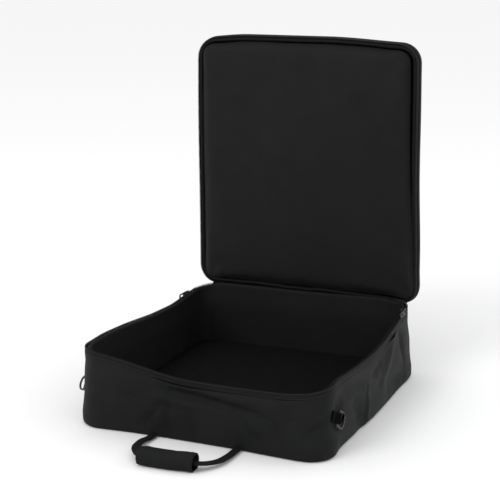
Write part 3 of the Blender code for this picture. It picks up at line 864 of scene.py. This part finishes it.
def make_floor_pad():
    low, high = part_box("floor_lining")
    size = (high.x - low.x - 0.002, high.y - low.y - 0.002, high.z - low.z - 0.002)
    centre = ((low.x + high.x) / 2, (low.y + high.y) / 2, low.z + size[2] / 2)
    # The pad's darkened lining cloth paints the shade that falls on the floor inside the tub
    pad = remeshed_block("floor_pad", size, 0.020, centre, LINING_DARKENED_FOR_SHADE, 0.005)
    points = coordinates_of(pad)
    held = (points[:, 2] < low.z + 0.004).astype(float)
    simulate(pad, held, CLOTH_REACH, pressure=3.0, bending=4.0, shrink=0.004)
    points = coordinates_of(pad)
    loose = step_up(points[:, 2], low.z + 0.006, high.z)
    edge = np.minimum(high.x - np.abs(points[:, 0]), high.y - np.abs(points[:, 1]))
    gathers = bump_at(edge, 0.003, 0.007) * ripple(points, 0.009, 19.0)
    waves = 0.0012 * ripple(points, 0.070, 5.0) + 0.0004 * ripple(points, 0.020, 9.0)
    points[:, 2] += loose * (waves + 0.0030 * gathers + 0.0012 * bump_at(edge, 0.006, 0.004))
    set_coordinates(pad, points)
    subdivide(pad)
    flat_cloth(pad, 0, 1)
    belongs(pad, "case", "lining_fabric", "floor_lining", "floor_foam", fill=0.8)


# ---------------------------------------------------------------- lid

def lid_form(points):
    """The soft lid's shape standing open: fuller at the top edge, and fuller to the right lower down."""
    points = np.array(points, float)
    x, z = points[..., 0], points[..., 2]
    rise = np.clip((z - HINGE.z) / LID_LENGTH, 0, 1)
    points[..., 2] = z + 0.0058 * step_up(rise, 0.55, 1.0) * step_up(x, -0.170, -0.085) * (1 - step_up(x, 0.030, 0.165))
    right = step_up(x, 0.0, LID_WIDTH / 2)
    left = step_up(-x, 0.0, LID_WIDTH / 2)
    fuller = 0.0042 * bump_at(rise, 0.16, 0.24) - 0.0010 * step_up(rise, 0.7, 1.0)
    corner = 0.0034 * bump_at(x, LID_WIDTH / 2 - 0.008, 0.022) * bump_at(z, LID_LOW.z + 0.008, 0.022)
    points[..., 0] = x + right * fuller - left * 0.0014 * bump_at(rise, 0.70, 0.30) + corner
    sag = 0.0020 + 0.0012 * step_up(x, -0.05, 0.15)
    points[..., 2] -= sag * (1 - step_up(rise, 0.0, 0.12)) + 0.7 * corner
    return points


def lid_ring(inset, depth):
    """Points and outward directions round the lid, standing open: inset from its edge, depth behind the hinge."""
    points, normals, lengths, _ = outline(LID_WIDTH, LID_LENGTH, LID_CORNER, inset)
    count = len(points)
    ring = np.c_[points[:, 0], np.full(count, HINGE.y + depth), LID_MIDDLE - points[:, 1]]
    out = np.c_[normals[:, 0], np.zeros(count), -normals[:, 1]]
    return ring, out, lengths


def make_lid_shell():
    """Gusset and cover as one soft shell: straight band, rounded shoulder and a slightly crowned face."""
    shoulder = 0.0075
    stations = [(0.0030, 0.0086), (0.0012, 0.0088), (0.0003, 0.0094), (0.0, 0.0110), (-0.0004, 0.0140)]
    for turn in np.linspace(0, math.pi / 2, 6):
        stations.append((shoulder * (1 - math.cos(turn)), LID_BACK - shoulder * (1 - math.sin(turn))))
    rings = []
    for inset, depth in stations:
        ring, out, lengths = lid_ring(inset, depth)
        rings.append(ring)
    edge = rings[-1]
    middle = np.array((0.0, HINGE.y + LID_BACK, LID_MIDDLE))
    for share in np.linspace(1, 0.02, 34)[1:]:
        ring = middle + (edge - middle) * (share, 1, share)
        ring[:, 1] += 0.0030 * (1 - share ** 2)
        rings.append(ring)
    points = lid_form(rings)
    loose = step_up(np.arange(len(rings)), 3, 11)
    dents = 0.0018 * ripple(points, 0.060, 21.0) + 0.0006 * ripple(points, 0.022, 2.0)
    points[:, :, 1] += dents * loose[:, None]
    across = distances(points[:, 0])
    shell = grid("lid_shell", points, SHELL, (lengths, across), wrap_cols=True)
    flat_cloth(shell, 0, 2, behind=HINGE.y + LID_BACK - 0.004)
    subdivide(shell)
    close_middle(shell, middle, 0.015)
    belongs(shell, "lid", "case_fabric", "lid_cover", "lid_gusset", "lid_foam", fill=0.7)


def make_lid_panel():
    """The padded inner panel that faces the opening, standing proud of its border."""
    half_x = LID_WIDTH / 2 - PANEL_INSET
    half_z = LID_LENGTH / 2 - PANEL_INSET
    front = HINGE.y - PANEL_RISE
    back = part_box("lid_lining")[1].y
    size = (2 * half_x, 2 * half_z, back - front)
    centre = (0.0, (front + back) / 2, LID_MIDDLE)
    tilt = Matrix.Rotation(math.radians(90), 4, "X")
    panel = remeshed_block("lid_panel", size, LID_CORNER - PANEL_INSET, centre, PANEL, 0.0032, tilt)
    points = coordinates_of(panel)
    held = (points[:, 1] > back - 0.0010).astype(float)
    simulate(panel, held, 0.0030, pressure=4.0, bending=4.0)
    points = coordinates_of(panel)
    facing = 1 - step_up(points[:, 1], front, back - 0.001)
    across = np.clip(np.abs(points[:, 0]) / half_x, 0, 1)
    upward = np.clip(np.abs(points[:, 2] - LID_MIDDLE) / half_z, 0, 1)
    edge = np.minimum(half_x * (1 - across), half_z * (1 - upward))
    crown = (1 - across ** 2) * (1 - upward ** 2)
    rounding = 0.0042 * (1 - step_up(edge, 0.0, 0.012)) ** 1.5
    low = bump_at(points[:, 2], LID_LOW.z + 0.010, 0.022)
    pucker = bump_at(edge, 0.006, 0.007) * ripple(points, 0.013, 31.0) * (0.0007 + 0.0010 * low)
    drape = 0.0012 * ripple(points * (1.0, 1.0, 0.5), 0.085, 15.0) * step_up(edge, 0.0, 0.04)
    points[:, 1] -= facing * (PANEL_CROWN * crown + drape + pucker - rounding)
    rise = (points[:, 2] - LID_LOW.z) / LID_LENGTH
    slump = 0.0050 * (1 - step_up(rise, 0.06, 0.48)) - 0.0032 * step_up(rise, 0.32, 0.75)
    points[:, 0] += slump * step_up(points[:, 0], 0.4 * half_x, half_x)
    points[:, 2] -= 0.0018 * step_up(rise, 0.94, 0.99) * (1 + ripple(points * (1, 0, 0), 0.045, 3.0))
    set_coordinates(panel, lid_form(points))
    subdivide(panel)
    flat_cloth(panel, 0, 2)
    belongs(panel, "lid", "lining_fabric", "lid_lining", fill=0.8)


def make_lid_border():
    """The rolled border round the panel, then the zip tape and coil outside it."""
    back = np.array((0.0, -1.0, 0.0))
    ring, out, _ = lid_ring(0.0050, 0.0052)
    wander = 0.0010 * ripple(ring, 0.060, 7.0) + 0.0004 * ripple(ring, 0.016, 1.0)
    low_edge = bump_at(ring[:, 2], LID_LOW.z, 0.02)
    ring = ring + out * (wander * (1 + 1.2 * low_edge) - 0.0003)[:, None]
    roll = sweep("lid_border_roll", lid_form(ring), out, oval(0.0027, 0.0027, 16), BINDING, up=back)
    belongs(roll, "lid", "binding", "lid_welt")

    points, normals, _, _ = outline(WIDTH, DEPTH, CORNER)
    run = in_order(zip_range(points))
    points, normals = points[run][::-1], normals[run][::-1]
    count = len(points)
    path = lid_form(np.c_[points[:, 0], np.full(count, HINGE.y), HINGE.z + HINGE.y - points[:, 1]])
    out = np.c_[normals[:, 0], np.zeros(count), -normals[:, 1]]
    nodes = ("zip_tape_upper", "zip_chain_upper")
    zip_side("lid", "lid", path, out, back, (0.0008, 0.0026), 0.0060, 0.0022, nodes)


def make_hinge():
    """The strip of cloth that joins the back wall to the lid."""
    low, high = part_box("hinge_strip")
    columns = np.linspace(low.x - 0.009, high.x + 0.009, 96)
    beyond = np.clip(np.abs(columns) - high.x, 0, None)
    rows = np.linspace(0.0, 1.0, 12)
    foot = Vector((0, HINGE.y - 0.0022, WALL_Z - 0.004))
    head = Vector((0, HINGE.y + 0.0078, LID_LOW.z + 0.0022))
    points = np.zeros((len(rows), len(columns), 3))
    for r, t in enumerate(rows):
        points[r, :, 0] = columns
        points[r, :, 1] = foot.y + (head.y - foot.y) * t ** 2 - 0.25 * beyond * (1 - t)
        points[r, :, 2] = foot.z + (head.z - foot.z) * t + 0.20 * beyond * t
    crumple = 0.0007 * ripple(points, 0.018, 6.0) + 0.0012 * ripple(points, 0.006, 2.0) * (beyond > 0)
    points[:, :, 1] += crumple * np.sin(math.pi * rows)[:, None]
    strip = grid("hinge_cloth", points, LINING_DARKENED_FOR_SHADE, (columns, rows * 0.02))
    thickness = strip.modifiers.new("thickness", "SOLIDIFY")
    thickness.thickness = 0.0010
    subdivide(strip)
    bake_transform(strip)
    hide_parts("hinge_strip")


# ---------------------------------------------------------------- handle

def strap(name, path, wide, face, width, thickness, material):
    """A flat strap along a path: wide points across it and face out of it, at each point."""
    half_w, half_t = width / 2, thickness / 2
    profile = oval(half_w, half_t, 16, power=0.45)
    points = np.array([path + a * wide + b * face for a, b in profile])
    return grid(name, points, material, (distances(path), profile[:, 0]), wrap_rows=True, cap=True)


def curve_through(points, steps):
    """A smooth curve through the given points."""
    points = [np.array(p, float) for p in points]
    last = len(points) - 1
    route = []
    for i in range(last):
        before, start, end, after = (points[min(max(k, 0), last)] for k in (i - 1, i, i + 1, i + 2))
        for step in range(steps):
            t = step / steps
            route.append(
                (2 * start + (end - before) * t + (2 * before - 5 * start + 4 * end - after) * t ** 2
                 + (3 * start - before - 3 * end + after) * t ** 3) / 2
            )
    return np.array(route + [points[-1]])


def make_handle():
    axis = np.array(JOINTS["handle_swing"]["pos_m"])
    low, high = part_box("grip_wrap")
    middle = (np.array(low) + np.array(high)) / 2 + GRIP_SHIFT
    heading = np.array((GRIP_LENGTH, GRIP_SKEW, 0.0))
    along = heading / np.linalg.norm(heading)
    across = np.cross(UP, along)
    left = middle - along * GRIP_LENGTH / 2
    right = middle + along * GRIP_LENGTH / 2
    feet = [np.array(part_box("handle_anchor_" + side)).mean(axis=0) for side in ("left", "right")]
    strap_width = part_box("handle_anchor_left")[1].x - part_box("handle_anchor_left")[0].x
    wall_y = -DEPTH / 2 + 0.004
    route = (
        (feet[0][0], wall_y, axis[2]), (feet[0][0], axis[1], axis[2]), (-0.0605, -0.2040, 0.0045),
        (-0.0578, -0.2200, 0.0066), (-0.0538, -0.2335, 0.0085), (-0.0480, -0.2440, 0.0093),
        left - along * 0.002 + across * 0.003, left + along * 0.008, left + along * 0.020, right - along * 0.020,
        right - along * 0.006, right + along * 0.003, (0.0425, -0.2440, 0.0076), (0.0498, -0.2290, 0.0056),
        (0.0522, -0.2080, 0.0038), (feet[1][0], axis[1], axis[2]), (feet[1][0], wall_y, axis[2]),
    )
    path = curve_through(route, 8)
    heading = directions(path)
    wide = np.cross(heading, UP)
    wide /= np.linalg.norm(wide, axis=1, keepdims=True)
    face = np.cross(wide, heading)
    webbing = strap("handle_strap", path, wide, face, strap_width, STRAP_THICKNESS, WEBBING)
    subdivide(webbing)
    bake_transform(webbing)
    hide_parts("handle_webbing", "handle_anchor_left", "handle_anchor_right")
    make_grip(middle, along, (high.z - low.z) / 2)


def make_grip(middle, along, half_tall):
    """A padded sleeve wrapped round the strap, its flap edge along the front and a turned hem at each end."""
    across = np.cross(UP, along)
    stations = np.linspace(-0.5, 0.5, 64)
    around = np.linspace(0, 2 * math.pi, 80, endpoint=False)
    degrees = np.degrees(around)
    points = np.zeros((len(around), len(stations), 3))
    flap = 0.0008 * step_up(degrees, 205, 210) * (1 - step_up(degrees, 300, 345))
    for s, place in enumerate(stations):
        hem = bump_at(place, 0.395, 0.012) + 0.6 * bump_at(place, -0.42, 0.012)
        taper = 0.10 * step_up(-place, 0.36, 0.52) + 0.03 * step_up(place, 0.40, 0.5)
        swell = 0.97 + 0.04 * math.cos(place * math.pi) - 0.07 * hem - taper
        cosine, sine = np.cos(around), np.sin(around)
        wide = GRIP_HALF_WIDE * swell + flap
        tall = half_tall * swell * np.where(sine > 0, 1.0, 0.94) + flap
        centre = middle + along * place * GRIP_LENGTH
        points[:, s] = centre + np.outer(wide * cosine, across) + np.outer(tall * sine, UP)
    line = middle + np.outer(stations * GRIP_LENGTH, along)
    outward = points - line[None]
    outward /= np.linalg.norm(outward, axis=2, keepdims=True)
    rough = 0.0010 * ripple(points, 0.020, 17.0) + 0.0004 * ripple(points, 0.008, 3.0)
    points = points + outward * rough[..., None]
    points[:, :, 2] = np.maximum(points[:, :, 2], 0.0024)
    sleeve = grid("grip_sleeve", points, SHELL, (stations * GRIP_LENGTH, around * GRIP_HALF_WIDE), wrap_rows=True)
    thickness = sleeve.modifiers.new("thickness", "SOLIDIFY")
    thickness.thickness = 0.0020
    thickness.offset = -1
    subdivide(sleeve)
    belongs(sleeve, "handle", "case_fabric", "grip_wrap", fill=0.8)
    core_profile = oval(GRIP_HALF_WIDE - 0.0026, half_tall - 0.0026, 28)
    reach = GRIP_LENGTH / 2 - 0.005
    ends = np.array([middle - along * reach, middle, middle + along * reach])
    core_points = np.array([ends + a * across + b * UP for a, b in core_profile])
    core = grid("grip_core", core_points, LINING_DARKENED_FOR_SHADE, ((0, reach, 2 * reach), core_profile[:, 0]), wrap_rows=True, cap=True)
    belongs(core, "handle", "foam", "grip_pad")


# ---------------------------------------------------------------- rings, sliders and pulls

# CAD node, body and piece, each without its side, then the width and steps of the rounded edges
METAL_PIECES = (("slider_", "zip_", "zip_slider_", 0.0002, 2), ("zip_pull_", "pull_", "zip_tab_", 0.0004, 3))


def make_hardware():
    for side in ("left", "right"):
        ring = softened("d_ring_" + side, "ring_" + side, 0.0009, PLASTIC, 3)
        bar = Matrix.Translation(JOINTS["ring_swing_" + side]["pos_m"])
        ring.data.transform(bar @ Matrix.Rotation(RING_LEAN, 4, "X") @ Matrix.Scale(RING_SHARE, 4) @ bar.inverted())
        belongs(ring, "ring_" + side, "ring_plastic")
        for node, body, name, width, steps in METAL_PIECES:
            piece = softened(node + side, name + side, width, METAL, steps)
            piece.data.transform(Matrix.Translation((0.0, 0.0, SLIDER_SETTLE[side])))
            belongs(piece, body + side, "slider_metal")


def make_tabs():
    """Webbing folded round each ring's bar and sewn flat to the wall."""
    for side, name in ((-1, "left"), (1, "right")):
        joint = JOINTS["ring_swing_" + name]
        bar = np.array(joint["pos_m"])
        lengthwise = np.abs(np.array(joint["axis"]))
        outward = np.array((float(side), 0.0, 0.0))
        forward = np.cross(lengthwise, outward) * side
        forward = forward if forward[1] < 0 else -forward
        layers = []
        for place in np.linspace(0.0135, 0.0065, 6):
            layers.append(bar + forward * place - outward * 0.0042)
        for turn in np.linspace(-60, 250, 16):
            angle = math.radians(turn)
            layers.append(bar - TAB_RADIUS * (outward * math.cos(angle) + forward * math.sin(angle)))
        for place in np.linspace(0.0065, 0.0135, 6):
            layers.append(bar + forward * place - outward * 0.0028)
        path = curve_through(layers, 3)
        heading = directions(path)
        wide = np.broadcast_to(lengthwise, path.shape)
        face = np.cross(heading, wide)
        # The tab's near-black cloth paints the shade in the wall's hollow at the ring
        tab = strap("ring_tab_cloth_" + name, path, wide, face, TAB_WIDTH, TAB_THICKNESS, TAB_CLOTH_PAINTED_SHADE)
        subdivide(tab)
        belongs(tab, "case", "webbing", "ring_tab_" + name)


# ---------------------------------------------------------------- stage

def area_light(name, location, target, size, power, colour=(1, 1, 1)):
    light = bpy.data.lights.new(name, "AREA")
    light.shape = "RECTANGLE"
    light.size, light.size_y = size
    light.energy = power
    light.color = colour
    obj = bpy.data.objects.new(name, light)
    obj.location = location
    obj.rotation_euler = (Vector(target) - Vector(location)).to_track_quat("-Z", "Y").to_euler()
    bpy.context.scene.collection.objects.link(obj)
    return obj


def make_stage():
    scene = bpy.context.scene
    mesh = bpy.data.meshes.new("floor")
    reach = 12.0
    corners = [(x * reach, y * reach, 0) for x, y in ((-1, -1), (1, -1), (1, 1), (-1, 1))]
    mesh.from_pydata(corners, [], [(0, 1, 2, 3)])
    paper = Nodes("pale_floor", (0.92, 0.92, 0.92), 0.9, 0.0)
    floor = finish_mesh("floor", mesh, paper.material)
    world = bpy.data.worlds.new("studio")
    world.use_nodes = True
    world.node_tree.nodes["Background"].inputs["Color"].default_value = (1, 1, 1, 1)
    world.node_tree.nodes["Background"].inputs["Strength"].default_value = 1.0
    scene.world = world
    middle = (0.0, 0.0, 0.15)
    area_light("key", (-1.2, -2.2, 2.2), middle, (1.6, 1.6), 30)
    area_light("side", (2.4, 1.2, 1.0), middle, (1.2, 1.6), 9, (0.90, 1.0, 0.97))
    scene.view_settings.view_transform = "Standard"


def make_camera():
    azimuth, elevation, distance = math.radians(22.4), math.radians(12.9), 1.6533
    target = Vector((0.0, 0.0, 0.2133))
    level = math.cos(elevation)
    back = Vector((math.sin(azimuth) * level, -math.cos(azimuth) * level, math.sin(elevation)))
    data = bpy.data.cameras.new("camera")
    data.lens = 93.3
    data.sensor_width = 36
    data.shift_x = -0.010
    data.shift_y = -0.024
    camera = bpy.data.objects.new("camera", data)
    camera.location = target + back * distance
    camera.rotation_euler = (-back).to_track_quat("-Z", "Y").to_euler()
    bpy.context.scene.collection.objects.link(camera)
    bpy.context.scene.camera = camera


make_camera()
make_stage()
make_tub()
make_floor_pad()
make_lid_shell()
make_lid_panel()
make_lid_border()
make_hinge()
make_handle()
make_tabs()
make_hardware()
